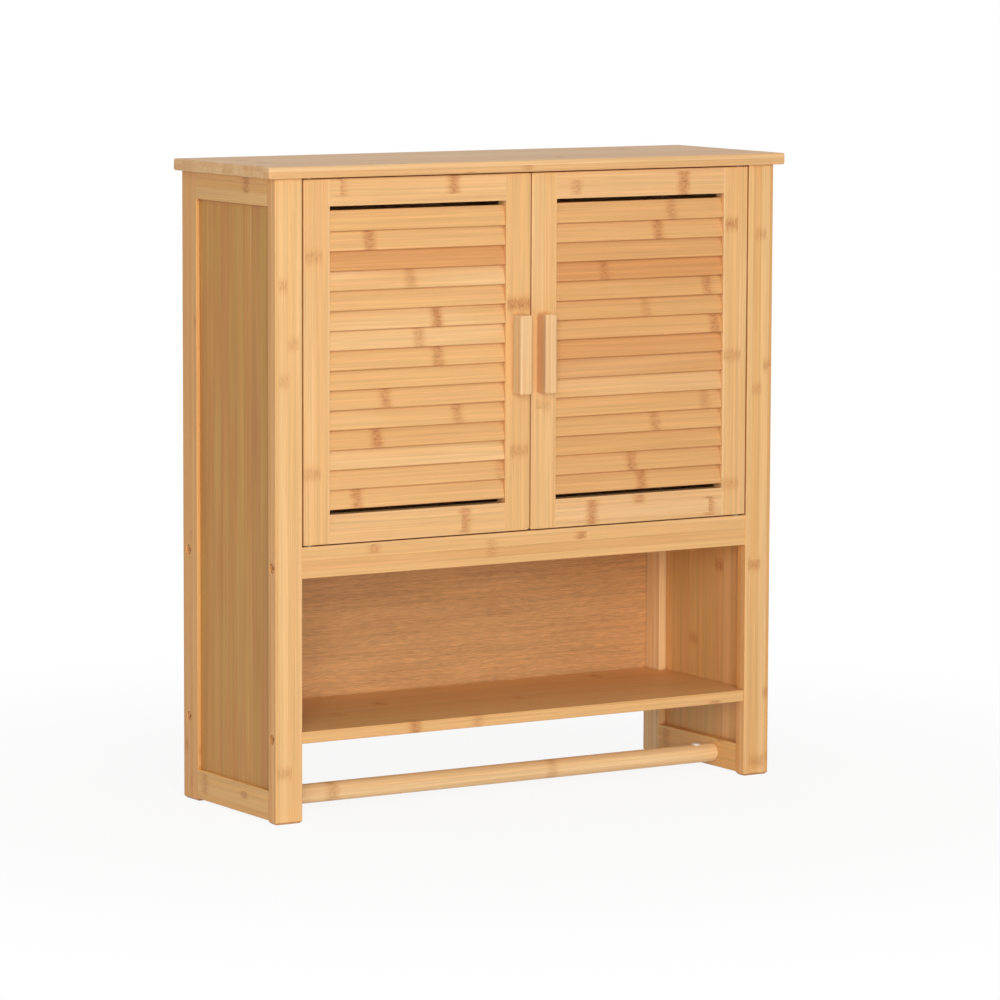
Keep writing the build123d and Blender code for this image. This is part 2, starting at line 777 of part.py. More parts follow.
# Strike plates, each held by one sunk screw
strike = block(strike_x - strike_width / 2, strike_x + strike_width / 2, door_back_y,
               door_back_y + strike_thickness, strike_z - strike_height / 2, strike_z + strike_height / 2)
strike = ease(strike, Axis.Y)
strike_cone = Pos(strike_x, door_back_y + strike_thickness / 2, strike_z) * Rot(-90, 0, 0) * Cone(
    strike_screw_diameter / 2, strike_screw_head / 2, strike_thickness)
strike_hole = Pos(strike_x, door_back_y + strike_thickness / 2, strike_z) * Rot(-90, 0, 0) * Cone(
    strike_screw_diameter / 2 + joint_fit, strike_screw_head / 2 + joint_fit, strike_thickness)
save_pair("strike_plate", strike - strike_hole)

strike_screw = strike_cone + rod_y(strike_x, door_back_y - strike_screw_bite, door_back_y, strike_z,
                                   strike_screw_diameter)
strike_slots = screw_slots(strike_x, strike_z, door_back_y + strike_thickness, strike_thickness / 2,
                           screw_slot_width * 0.6, strike_screw_head * 0.6)
save_pair("strike_screw", cut_all(strike_screw, strike_slots))
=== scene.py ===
import math

import bmesh
import bpy
from mathutils import Matrix, Vector


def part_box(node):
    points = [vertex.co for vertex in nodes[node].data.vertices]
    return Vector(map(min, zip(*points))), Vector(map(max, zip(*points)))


# Looks of the bamboo wall cabinet. Metres, in the row frame: +Z up, the doors face -Y.

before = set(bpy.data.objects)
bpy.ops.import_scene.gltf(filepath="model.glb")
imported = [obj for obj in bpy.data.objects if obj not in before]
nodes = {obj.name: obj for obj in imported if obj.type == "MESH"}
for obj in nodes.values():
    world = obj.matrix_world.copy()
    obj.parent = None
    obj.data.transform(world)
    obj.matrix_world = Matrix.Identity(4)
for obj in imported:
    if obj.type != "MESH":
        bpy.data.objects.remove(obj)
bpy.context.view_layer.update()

# Camera at the photograph's place, found by fitting the cabinet's corners
CAMERA_AZIMUTH = math.radians(31.94)
CAMERA_ELEVATION = math.radians(6.76)
CAMERA_ROLL = math.radians(0.215)
CAMERA_DISTANCE = 5.293
CAMERA_FOCAL = 5.085
CAMERA_AIM = (0.0, 0.0045, 0.330)
CAMERA_RIGHT = 0.0180
CAMERA_UP = -0.0282
CLIP_END = 100.0
SENSOR_MM = 36.0

# Light levels. At 1, a colour facing the lights renders as it is written.
# The lamps are given as degrees round to the left of the doors, degrees up, and light level.
SKY_LEVEL = 0.30
SKY_COLOUR = (1.0, 0.99, 0.975, 1.0)
WHITE = (1.0, 1.0, 1.0, 1.0)
LAMPS = {
    "key_lamp": (27.0, 15.0, 0.48),
    "low_lamp": (26.0, 2.0, 0.24),
    "high_lamp": (27.0, 75.0, 0.12),
}
LAMP_DISTANCE = 4.5
LAMP_SIZE = 2.6
LAMP_AIM = Vector((0.0, 0.0, 0.33))

# Floor. Its share of the background's white grows from the near share to 1 with the distance.
FLOOR_COLOUR = (0.93, 0.93, 0.93, 1.0)
FLOOR_ROUGHNESS = 0.9
FLOOR_RADIUS = 9.0
FLOOR_SEGMENTS = 96
FADE_START = 0.25
FADE_END = 1.1
FADE_NEAR_SHARE = 0.90

# Louvre pattern of the doors. The fifteen slats lie evenly about the middle of their box.
SLAT_COUNT = 15
SLATS_ROOM = 0.2993
SLAT_THICKNESS = 0.0040
SLAT_AIR_GAP = 0.0006
SLAT_PITCH = SLATS_ROOM / SLAT_COUNT
SLAT_TILT = math.asin((SLAT_THICKNESS + SLAT_AIR_GAP) / SLAT_PITCH)
SLAT_STEP = SLAT_PITCH * math.sin(SLAT_TILT)
slats_low, slats_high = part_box("right_door_slats")
SLAT_MIDDLE = ((slats_low[1] + slats_high[1]) / 2 * math.cos(SLAT_TILT)
               - (slats_low[2] + slats_high[2]) / 2 * math.sin(SLAT_TILT))
SLAT_FIRST = SLAT_MIDDLE + (SLAT_COUNT - 1) / 2 * SLAT_STEP
OPENING_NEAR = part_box("right_door_inner_stile")[1][0]
OPENING_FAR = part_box("right_door_outer_stile")[0][0]


class Graph:
    """A short way to write shader nodes."""

    def __init__(self, tree):
        self.tree = tree

    def add(self, kind, **settings):
        node = self.tree.nodes.new(kind)
        for key, value in settings.items():
            setattr(node, key, value)
        return node

    def put(self, socket, value):
        """Link an output to a socket, or set the socket's own value."""
        if isinstance(value, bpy.types.NodeSocket):
            self.tree.links.new(value, socket)
        else:
            socket.default_value = value

    def math(self, operation, *values, clamp=False):
        node = self.add("ShaderNodeMath", operation=operation, use_clamp=clamp)
        for socket, value in zip(node.inputs, values):
            self.put(socket, value)
        return node.outputs[0]

    def join(self, x, y, z):
        node = self.add("ShaderNodeCombineXYZ")
        for socket, value in zip(node.inputs, (x, y, z)):
            self.put(socket, value)
        return node.outputs[0]

    def noise(self, vector, scale=1.0, detail=2.0, roughness=0.5):
        node = self.add("ShaderNodeTexNoise")
        self.put(node.inputs["Vector"], vector)
        self.put(node.inputs["Scale"], scale)
        self.put(node.inputs["Detail"], detail)
        self.put(node.inputs["Roughness"], roughness)
        return node.outputs["Fac"]

    def drawn_out(self, point, noise):
        """A noise of the grain, for a point as its places along, across and into the board."""
        scaled = [self.math("MULTIPLY", place, scale) for place, scale in zip(point, noise)]
        return self.noise(self.join(*scaled), 1.0, *noise[3:])

    def random(self, *values):
        """A random value from 0 to 1 for up to three whole numbers."""
        values = list(values) + [0.0] * (3 - len(values))
        node = self.add("ShaderNodeTexWhiteNoise")
        self.put(node.inputs["Vector"], self.join(*values))
        return node.outputs["Value"]

    def span(self, value, low, high, to_low=0.0, to_high=1.0, smooth=False):
        node = self.add("ShaderNodeMapRange", interpolation_type="SMOOTHSTEP" if smooth else "LINEAR")
        for socket, item in zip(node.inputs, (value, low, high, to_low, to_high)):
            self.put(socket, item)
        return node.outputs[0]

    def ramp(self, value, stops, interpolation="LINEAR"):
        node = self.add("ShaderNodeValToRGB")
        ramp = node.color_ramp
        ramp.interpolation = interpolation
        while len(ramp.elements) < len(stops):
            ramp.elements.new(0.5)
        for element, (place, tone) in zip(ramp.elements, stops):
            element.position = place
            element.color = tone
        self.put(node.inputs["Fac"], value)
        return node.outputs["Color"]

    def mix(self, factor, first, second, blend="MIX"):
        node = self.add("ShaderNodeMix", data_type="RGBA", blend_type=blend)
        self.put(node.inputs["Factor"], factor)
        self.put(node.inputs["A"], first)
        self.put(node.inputs["B"], second)
        return node.outputs["Result"]

    def grey(self, value):
        """A grey colour from a value."""
        return self.join(value, value, value)


def colour(red, green, blue):
    """A linear colour from 8-bit screen values."""
    def line(v):
        v = v / 255
        return v / 12.92 if v <= 0.04045 else ((v + 0.055) / 1.055) ** 2.4
    return (line(red), line(green), line(blue), 1.0)


def new_material(name):
    """A material with an empty tree, its graph and its principled shader."""
    material = bpy.data.materials.new(name)
    material.use_nodes = True
    tree = material.node_tree
    tree.nodes.clear()
    graph = Graph(tree)
    shader = graph.add("ShaderNodeBsdfPrincipled")
    output = graph.add("ShaderNodeOutputMaterial")
    tree.links.new(shader.outputs[0], output.inputs["Surface"])
    return material, graph, shader


# Colours of the bamboo
LIGHT_HONEY = colour(240, 194, 137)
HONEY = colour(234, 183, 121)
DEEP_HONEY = colour(226, 170, 107)
ORANGE = colour(214, 148, 88)
PINK = colour(230, 172, 116)
OLIVE = colour(204, 154, 76)
NODE_BROWN = colour(158, 90, 48)
NODE_HALO = colour(204, 136, 80)
FACE_TONES = ((0.0, DEEP_HONEY), (0.35, HONEY), (0.7, HONEY), (1.0, LIGHT_HONEY))

# Noises of the grain: scales per metre along, across and into the board, detail and roughness
SLOW_NOISE = (5.0, 30.0, 1.0, 1.0, 0.5)
FIBRE_NOISE = (7.0, 720.0, 720.0, 3.0, 0.65)
BROAD_NOISE = (3.5, 300.0, 300.0, 2.0, 0.5)
STREAK_NOISE = (2.5, 130.0, 130.0, 1.0, 0.5)
VESSEL_NOISE = (55.0, 1500.0, 1500.0, 1.0, 0.5)
RAGGED_NOISE = (40.0, 330.0, 330.0, 2.0, 0.6)
DASH_NOISE = (190.0, 620.0, 620.0, 3.0, 0.65)
BEND_NOISE = (9.0, 14.0, 1.0, 2.0, 0.5)
CLOUD_NOISE = (62.0, 900.0, 1.0, 3.0, 0.7)
DRIFT_NOISE = (8.0, 60.0, 1.0, 2.0, 0.6)
WARP_SCALE = 45.0
BEND_REACH = 0.03

# Parts of the noises' ranges that the patterns take up
FINE_RANGE = (0.25, 0.75)
SOFT_RANGE = (0.3, 0.7)
CLOUD_RANGE = (0.32, 0.68)
STREAK_RANGE = (0.45, 0.70)
VESSEL_RANGE = (0.60, 0.74)
DASH_RANGE = (0.42, 0.66)

# How far the fibres, vessels, seams and slow changes lighten or darken a board
FIBRE_DARK = 0.865
FIBRE_LIGHT = 1.100
BROAD_SHADE = 0.07
DRIFT_SHADE = 0.07
VESSEL_SHADE = 0.05
SEAM_SHADE = 0.05
TONE_CHANGE = 0.18

# Random draws: steps in a draw's number, and how far the draws shift the grain and its growth nodes
SIDE_STEP = 40.0
SHIFT_DRAW = 7.0
JITTER_DRAW = 3.0
STRIP_SHIFT = 3.0
CELL_SHIFT = 9.7
CELL_JITTER = 0.5

# Growth nodes: half lengths along the grain, strengths of the random ones, and shares of the colours
MARK_CORE = 0.001
MARK_RAGGED = 0.0018
HALO_REACH = 0.0120
BAND_REACH = 0.0080
SPOT_SOFT = 0.0015
STRONGEST_NODE = 0.9
FAINTEST_NODE = 0.35
HALO_SHARE = 0.66
DASH_SHARE = 0.62

# Edge wear with a painted highlight, painted shade in narrow corners, and painted shade on faces that
# look up, down or aside
# Rounded edges lightened partly as wear and partly as a painted highlight
WEAR_AND_HIGHLIGHT_RADIUS = 0.0011
WEAR_AND_HIGHLIGHT_RANGE = (0.86, 0.985)
WEAR_AND_HIGHLIGHT_SHARE = 0.30
# Painted shade in the narrow corners between pieces: its reach, range, share and brown tint
CREVICE_SHADE_REACH = 0.005
CREVICE_SHADE_RANGE = (0.30, 0.80)
CREVICE_SHADE_SHARE = 0.8
CREVICE_SHADE_TINT = (0.66, 0.50, 0.40, 1.0)
# Range of facing and share of the painted shade on faces that look up or down
SHADED_FACE_RANGE = (0.5, 0.9)
LEVEL_SHADE_SHARE = 0.55
# Painted shade tints of the faces that look aside, on the posts and on the handles
SIDE_SHADE_TINT = (0.95, 0.85, 0.76, 1.0)
HANDLE_SIDE_SHADE_TINT = (0.84, 0.90, 0.95, 1.0)

# Lacquer, and the relief of the fibres under it
LACQUER_ROUGHNESS = 0.46
LACQUER_SPREAD = 0.05
LACQUER_SPECULAR = 0.28
DULL_SHARE = 0.08
DASH_RELIEF = -0.7
RELIEF_STRENGTH = 0.25
RELIEF_DISTANCE = 0.00025


def add_relief(g, shader, height, strength, distance):
    """A bump of this height pattern on a shader."""
    bump = g.add("ShaderNodeBump")
    bump.inputs["Strength"].default_value = strength
    bump.inputs["Distance"].default_value = distance
    g.put(bump.inputs["Height"], height)
    g.put(shader.inputs["Normal"], bump.outputs[0])


def spot_mask(g, along, across, spots):
    """The distance along the grain to the nearest listed growth node, and its strength."""
    distance, force = 1.0, 0.0
    for place, middle, half, strength in spots:
        apart = g.math("ABSOLUTE", g.math("SUBTRACT", across, middle))
        inside = g.span(apart, half, half + SPOT_SOFT, strength, 0.0)
        offset = g.math("ABSOLUTE", g.math("SUBTRACT", along, place))
        offset = g.math("ADD", offset, g.math("LESS_THAN", inside, 0.01))
        nearer = g.math("LESS_THAN", offset, distance)
        force = g.math("ADD", g.math("MULTIPLY", inside, nearer),
                       g.math("MULTIPLY", force, g.math("SUBTRACT", 1.0, nearer)))
        distance = g.math("MINIMUM", offset, distance)
    return distance, force


def wear_and_highlight_edges(g):
    """1 on the rounded edges of a piece, 0 on its faces: the mask of their wear and painted highlight.
    """
    bevel = g.add("ShaderNodeBevel", samples=3)
    bevel.inputs["Radius"].default_value = WEAR_AND_HIGHLIGHT_RADIUS
    facing = g.add("ShaderNodeVectorMath", operation="DOT_PRODUCT")
    g.put(facing.inputs[0], bevel.outputs[0])
    g.put(facing.inputs[1], g.add("ShaderNodeNewGeometry").outputs["True Normal"])
    return g.span(facing.outputs["Value"], *WEAR_AND_HIGHLIGHT_RANGE, 1.0, 0.0, smooth=True)


def painted_crevice_shade(g):
    """1 in the narrow inner corners between pieces, 0 in the open: the mask of the painted shade there.
    """
    shelter = g.add("ShaderNodeAmbientOcclusion", samples=4)
    shelter.inputs["Distance"].default_value = CREVICE_SHADE_REACH
    return g.span(shelter.outputs["AO"], *CREVICE_SHADE_RANGE, 1.0, 0.0, smooth=True)


def bamboo(name, grain, across, strip, layer, tones=FACE_TONES, gap=None, density=0.0,
           spots=(), slats=False, twin=False, mottle=0.0, warp=0.0, soft=0.0004,
           level_face_shade=None, side_shade_tint=None, streaks=0.32, seed=0.0):
    """Laminated bamboo. Strips run along the grain axis, strip wide in the across axis and layer thick.

    gap and density set the random growth nodes, and spots are the listed ones. twin gives
    the pieces on the left and on the right their own strips. mottle sets how cloudy the board is,
    warp how uneven its strips are, soft how wide their seams are, and streaks how pink it gets.
    """
    material, g, shader = new_material(name)
    coordinates = g.add("ShaderNodeTexCoord")
    axes = dict(zip("XYZ", g.add("ShaderNodeSeparateXYZ").outputs))
    g.put(axes["X"].node.inputs[0], coordinates.outputs["Object"])
    deep = next(axis for axis in "XYZ" if axis not in (grain, across))
    u, v, w = axes[grain], axes[across], axes[deep]

    # Which strip a point is in, and where in it
    on_right = g.math("GREATER_THAN", axes["X"], 0.0)
    side = g.math("MULTIPLY", on_right, SIDE_STEP if twin or slats else 0.0)
    if slats:
        tilt = g.math("SUBTRACT", g.math("MULTIPLY", axes["Y"], math.cos(SLAT_TILT)),
                      g.math("MULTIPLY", axes["Z"], math.sin(SLAT_TILT)))
        index = g.math("ROUND", g.math("DIVIDE", g.math("SUBTRACT", SLAT_FIRST, tilt), SLAT_STEP))
        strip_id = g.math("ADD", index, side)
        layer_id = 0.0
        seam = 0.0
    else:
        place = g.math("DIVIDE", v, strip)
        if warp:
            wave = g.noise(g.join(v, 0.0, seed), WARP_SCALE, 0.0)
            place = g.math("ADD", place, g.math("MULTIPLY", wave, warp))
        inside = g.math("FRACT", place)
        strip_id = g.math("ADD", g.math("FLOOR", place), side)
        layer_id = g.math("FLOOR", g.math("DIVIDE", w, layer))
        to_seam = g.math("MULTIPLY", g.math("PINGPONG", inside, 0.5), strip)
        seam = g.span(to_seam, 0.0, soft, 1.0, 0.0, smooth=True)

    # Tone of the strip, with slow changes along it
    pick = g.random(strip_id, layer_id, seed)
    shift = g.math("MULTIPLY", g.random(strip_id, layer_id, seed + SHIFT_DRAW), STRIP_SHIFT)
    along = g.math("ADD", u, shift)
    point = (along, v, w)
    slow = g.drawn_out(point, SLOW_NOISE)
    change = g.span(slow, *SOFT_RANGE, -TONE_CHANGE, TONE_CHANGE)
    tone = g.ramp(g.math("ADD", pick, change, clamp=True), tones)
    normal = g.add("ShaderNodeSeparateXYZ")
    g.put(normal.inputs[0], coordinates.outputs["Normal"])
    # Painted shade: faces that look up or down are mixed towards a darker tone
    if level_face_shade:
        level_shade = g.span(g.math("ABSOLUTE", normal.outputs["Z"]), *SHADED_FACE_RANGE, 0.0, LEVEL_SHADE_SHARE)
        tone = g.mix(level_shade, tone, level_face_shade)
    # Painted shade: faces that look aside are multiplied by a darker tint
    if side_shade_tint:
        side_shade = g.span(g.math("ABSOLUTE", normal.outputs["X"]), *SHADED_FACE_RANGE)
        tone = g.mix(side_shade, tone, side_shade_tint, "MULTIPLY")

    # Fibres: fine lines one to three millimetres apart, and broader streaks that lean towards pink
    fibre = g.drawn_out(point, FIBRE_NOISE)
    broad = g.drawn_out(point, BROAD_NOISE)
    streak = g.drawn_out(point, STREAK_NOISE)
    vessels = g.span(g.drawn_out(point, VESSEL_NOISE), *VESSEL_RANGE, smooth=True)
    tone = g.mix(g.span(streak, *STREAK_RANGE, 0.0, streaks, smooth=True), tone, PINK)

    # Growth nodes of the cane: a soft band across a strip, with short brown dashes along the fibres
    deepen = 0.0
    if slats:
        where, force, deepen = slats_nodes(g, axes["X"], index)
        distance = g.math("ABSOLUTE", g.math("SUBTRACT", u, where))
    else:
        cells = g.math("ADD", g.math("DIVIDE", u, gap), g.math("MULTIPLY", pick, CELL_SHIFT))
        cell = g.math("FLOOR", cells)
        place = g.random(strip_id, cell, seed + JITTER_DRAW)
        jitter = g.math("MULTIPLY", g.math("SUBTRACT", place, 0.5), CELL_JITTER)
        offset = g.math("SUBTRACT", g.math("SUBTRACT", g.math("FRACT", cells), 0.5), jitter)
        distance = g.math("ABSOLUTE", g.math("MULTIPLY", offset, gap))
        drawn = g.random(strip_id, g.math("ADD", cell, 0.5), layer_id)
        force = g.span(drawn, 0.0, density + 0.001, STRONGEST_NODE, FAINTEST_NODE)
        force = g.math("MULTIPLY", force, g.math("LESS_THAN", drawn, density))
        if spots:
            near, strength = spot_mask(g, u, v, spots)
            nearer = g.math("LESS_THAN", near, distance)
            far = g.math("SUBTRACT", 1.0, nearer)
            force = g.math("ADD", g.math("MULTIPLY", strength, nearer),
                           g.math("MULTIPLY", force, far))
            distance = g.math("MINIMUM", near, distance)
    ragged = g.drawn_out((u, v, w), RAGGED_NOISE)
    distance = g.math("ADD", distance, g.span(ragged, *SOFT_RANGE, -MARK_RAGGED, MARK_RAGGED))
    halo = g.math("MULTIPLY", g.span(distance, MARK_CORE, HALO_REACH, 1.0, 0.0, smooth=True), force)
    band = g.math("MULTIPLY", g.span(distance, MARK_CORE, BAND_REACH, 1.0, 0.0, smooth=True), force)
    dash = g.drawn_out(point, DASH_NOISE)
    dashes = g.math("MULTIPLY", g.span(dash, *DASH_RANGE, smooth=True), band)

    # Colour
    shade = g.math("ADD", g.span(fibre, *FINE_RANGE, FIBRE_DARK, FIBRE_LIGHT),
                   g.span(broad, *FINE_RANGE, -BROAD_SHADE, BROAD_SHADE))
    shade = g.math("SUBTRACT", shade, g.math("MULTIPLY", vessels, VESSEL_SHADE))
    if mottle:
        bend = g.math("MULTIPLY", g.drawn_out((u, v, w), BEND_NOISE), BEND_REACH)
        bent = (along, g.math("ADD", v, bend), w)
        cloud = g.drawn_out(bent, CLOUD_NOISE)
        drift = g.drawn_out(bent, DRIFT_NOISE)
        shade = g.math("ADD", shade, g.span(cloud, *CLOUD_RANGE, -mottle, mottle))
        shade = g.math("ADD", shade, g.span(drift, *SOFT_RANGE, -DRIFT_SHADE, DRIFT_SHADE))
    shade = g.math("SUBTRACT", shade, g.math("MULTIPLY", seam, SEAM_SHADE))
    base = g.mix(1.0, tone, g.grey(shade), "MULTIPLY")
    if slats:
        base = g.mix(deepen, base, g.mix(1.0, ORANGE, g.grey(shade), "MULTIPLY"))
    base = g.mix(g.math("MULTIPLY", halo, HALO_SHARE), base, NODE_HALO)
    base = g.mix(g.math("MULTIPLY", dashes, DASH_SHARE), base, NODE_BROWN)
    # Rounded edges are lightened towards the lightest honey, partly as wear and partly as a painted
    # highlight
    wear_and_highlight = wear_and_highlight_edges(g)
    base = g.mix(g.math("MULTIPLY", wear_and_highlight, WEAR_AND_HIGHLIGHT_SHARE), base, LIGHT_HONEY)
    # Painted shade: the narrow corners between pieces are darkened by a brown tint
    crevice_shaded = g.mix(1.0, base, CREVICE_SHADE_TINT, "MULTIPLY")
    base = g.mix(g.math("MULTIPLY", painted_crevice_shade(g), CREVICE_SHADE_SHARE), base, crevice_shaded)
    g.put(shader.inputs["Base Color"], base)

    # Satin lacquer that follows the fibres a little and is duller on the rounded edges and growth nodes
    smooth, rough = LACQUER_ROUGHNESS - LACQUER_SPREAD, LACQUER_ROUGHNESS + LACQUER_SPREAD
    gloss = g.math("ADD", g.span(fibre, *FINE_RANGE, smooth, rough),
                   g.math("MULTIPLY", g.math("ADD", dashes, wear_and_highlight), DULL_SHARE))
    g.put(shader.inputs["Roughness"], gloss)
    shader.inputs["Specular IOR Level"].default_value = LACQUER_SPECULAR
    height = g.math("ADD", fibre, g.math("MULTIPLY", dashes, DASH_RELIEF))
    add_relief(g, shader, height, RELIEF_STRENGTH, RELIEF_DISTANCE)
    return material


# Growth nodes listed one by one: place along the grain, middle and half width across it, strength
POST_SPOTS = (
    (0.4827, -0.279, 0.006, 0.35), (0.4464, -0.290, 0.005, 0.4), (0.0523, -0.290, 0.008, 0.45),
    (0.5752, 0.285, 0.006, 0.5), (0.4368, 0.294, 0.004, 0.6), (0.4121, 0.281, 0.005, 0.4),
    (0.2264, 0.280, 0.007, 0.7), (0.0882, 0.297, 0.004, 0.6), (0.0150, 0.285, 0.009, 0.5),
)
STILE_SPOTS = (
    (0.5695, -0.2555, 0.009, 0.45), (0.3516, -0.2575, 0.009, 0.5), (0.5133, -0.0147, 0.013, 0.9),
    (0.3625, -0.0140, 0.010, 0.55), (0.5869, 0.2478, 0.007, 0.85), (0.4494, 0.2493, 0.010, 0.5),
    (0.3133, 0.2483, 0.010, 0.45), (0.4080, 0.0150, 0.008, 0.35),
)
DOOR_RAIL_SPOTS = (
    (-0.2233, 0.6380, 0.009, 0.5), (-0.0927, 0.6377, 0.009, 0.95), (0.0549, 0.6307, 0.007, 0.55),
    (0.1870, 0.6310, 0.012, 0.95), (-0.0785, 0.2950, 0.012, 0.75), (-0.2430, 0.3000, 0.006, 0.5),
    (0.0755, 0.2940, 0.012, 0.95), (0.2218, 0.2920, 0.009, 0.8), (0.1337, 0.3042, 0.004, 0.7),
)
RAIL_SPOTS = (
    (-0.1849, 0.2724, 0.004, 0.6), (-0.0461, 0.2634, 0.009, 0.4), (0.0634, 0.2709, 0.003, 1.0),
)
SIDE_RAIL_SPOTS = (
    (-0.0231, 0.0215, 0.003, 0.8), (0.0592, 0.0200, 0.010, 0.6), (-0.0300, 0.6400, 0.008, 0.8),
)
SHELF_SPOTS = ((-0.1363, -0.086, 0.010, 0.9), (-0.0610, -0.086, 0.010, 0.5))
BAR_SPOTS = ((-0.2057, 0.018, 0.011, 0.5), (0.0600, 0.018, 0.011, 0.4))

# Growth nodes on the slats, counted from the lowest slat: share of the opening's width from its
# left end, and strength
LEFT_SLAT_NODES = {
    13: (0.23, 0.9), 11: (0.46, 0.6), 9: (0.61, 1.0), 8: (0.51, 0.55), 7: (0.62, 0.8),
    5: (0.32, 0.7), 4: (0.73, 0.7), 3: (0.27, 1.0), 1: (0.98, 0.4), 0: (0.16, 0.8),
}
RIGHT_SLAT_NODES = {
    14: (0.69, 0.6), 13: (0.61, 0.9), 11: (0.29, 0.9), 10: (0.91, 0.7), 9: (0.54, 0.45),
    8: (0.96, 0.9), 4: (0.9, 0.5), 3: (0.6, 0.6), 1: (0.46, 0.8), 0: (0.52, 0.9),
}

# Slats of a deeper colour, and how far the others of a door lean that way
LEFT_DEEP_SLATS = {12: 0.75}
RIGHT_DEEP_SLATS = {11: 0.85, 7: 0.7, 6: 0.55, 12: 0.4}
LEFT_LEAN = 0.05
RIGHT_LEAN = 0.28


def slats_nodes(g, x, index):
    """Place in X and strength of the growth node on each slat, and the depth of its colour."""
    results = []
    width = OPENING_FAR - OPENING_NEAR
    left_door = (LEFT_SLAT_NODES, LEFT_DEEP_SLATS, LEFT_LEAN, -OPENING_FAR)
    right_door = (RIGHT_SLAT_NODES, RIGHT_DEEP_SLATS, RIGHT_LEAN, OPENING_NEAR)
    for table, deep_slats, lean, start in (left_door, right_door):
        stops = []
        for number in range(SLAT_COUNT):
            place, force = table.get(number, (0.5, 0.0))
            stops.append((number / SLAT_COUNT, (place, force, deep_slats.get(number, lean), 1.0)))
        picked = g.ramp(g.math("DIVIDE", g.math("ADD", index, 0.5), SLAT_COUNT), stops, "CONSTANT")
        split = g.add("ShaderNodeSeparateColor")
        g.put(split.inputs[0], picked)
        where = g.math("ADD", g.math("MULTIPLY", split.outputs[0], width), start)
        results.append((where, split.outputs[1], split.outputs[2]))
    right = g.math("GREATER_THAN", x, 0.0)
    mixed = []
    for first, second in zip(*results):
        on_left = g.math("MULTIPLY", first, g.math("SUBTRACT", 1.0, right))
        mixed.append(g.math("ADD", on_left, g.math("MULTIPLY", second, right)))
    return mixed


def tone_stops(*stops):
    """Stops of a colour ramp, from places and 8-bit screen values."""
    return tuple((place, colour(*values)) for place, values in stops)


# Tones of the strips, from the deepest to the lightest
SLAT_TONES = ((0.0, colour(230, 177, 114)), (0.35, HONEY), (0.8, HONEY), (1.0, LIGHT_HONEY))
SHELF_TONES = ((0.0, DEEP_HONEY), (0.5, HONEY), (1.0, HONEY))
# Darker tone of the shelves' faces that look up or down, as painted shade
SHELF_LEVEL_SHADE = colour(212, 164, 103)
PANEL_TONES = ((0.0, OLIVE), (0.3, colour(196, 134, 70)), (0.55, OLIVE),
               (0.75, colour(204, 140, 70)), (1.0, colour(208, 156, 80)))
# Lighter, less olive panel tones: painted light for the right side panel
PAINTED_LIGHT_PANEL_TONES = tone_stops((0.0, (226, 174, 110)), (0.5, (220, 168, 106)),
                               (0.8, (216, 174, 108)), (1.0, (230, 180, 120)))
TOP_TONES = tone_stops((0.0, (226, 174, 116)), (0.5, (234, 186, 130)), (1.0, (240, 197, 144)))
BACK_TONES = tone_stops((0.0, (210, 158, 104)), (0.5, (216, 165, 110)), (1.0, (224, 174, 118)))
SIDE_RAIL_TONES = tone_stops((0.0, (226, 170, 98)), (0.5, (232, 180, 110)), (1.0, (238, 190, 124)))
POST_TONES = tone_stops((0.0, (226, 170, 104)), (0.4, (234, 182, 116)), (1.0, (239, 193, 134)))
HANDLE_TONES = tone_stops((0.0, (232, 184, 128)), (0.5, (239, 195, 142)), (1.0, (246, 205, 154)))
BAR_TONES = tone_stops((0.0, (246, 204, 148)), (0.5, (250, 211, 157)), (1.0, (252, 217, 166)))
DOOR_RAIL_TONES = tone_stops((0.0, (234, 184, 125)), (0.5, (239, 191, 135)), (1.0, (243, 199, 145)))
# Paler post tones: painted light for the right rear post
PAINTED_LIGHT_POST_TONES = tone_stops((0.0, (241, 198, 140)), (0.5, (244, 205, 150)), (1.0, (247, 211, 158)))

# Boards, with the strips of the posts and rails narrower than those of the doors
FRAME_STRIP = 0.0102
DOOR_STRIP = 0.0150
THIN_LAYER = 0.005
THICK_LAYER = 0.006

# The posts carry a painted shade tint on their faces that look aside
post = bamboo("post_bamboo", "Z", "X", FRAME_STRIP, THIN_LAYER, POST_TONES, gap=0.26, density=0.12,
              spots=POST_SPOTS, twin=True, side_shade_tint=SIDE_SHADE_TINT, seed=1.0)
# A paler copy of the post material, as painted light
painted_light_post = bamboo("painted_light_post_bamboo", "Z", "X", FRAME_STRIP, THIN_LAYER, PAINTED_LIGHT_POST_TONES, gap=0.26,
                   density=0.12, twin=True, streaks=0.1, seed=1.0)
rail = bamboo("rail_bamboo", "X", "Z", FRAME_STRIP, THIN_LAYER, gap=0.16, spots=RAIL_SPOTS, seed=2.0)
side_rail = bamboo("side_rail_bamboo", "Y", "Z", FRAME_STRIP, THIN_LAYER, SIDE_RAIL_TONES, gap=0.12,
                   density=0.1, spots=SIDE_RAIL_SPOTS, twin=True, seed=3.0)
stile = bamboo("stile_bamboo", "Z", "X", DOOR_STRIP, THIN_LAYER, gap=0.21, spots=STILE_SPOTS,
               twin=True, seed=4.0)
door_rail = bamboo("door_rail_bamboo", "X", "Z", DOOR_STRIP, THIN_LAYER, DOOR_RAIL_TONES, gap=0.11,
                   spots=DOOR_RAIL_SPOTS, twin=True, seed=5.0)
panel = bamboo("panel_bamboo", "Z", "Y", 0.016, THICK_LAYER, PANEL_TONES, gap=0.3, density=0.08,
               warp=0.3, soft=0.0030, streaks=0.12, seed=6.0)
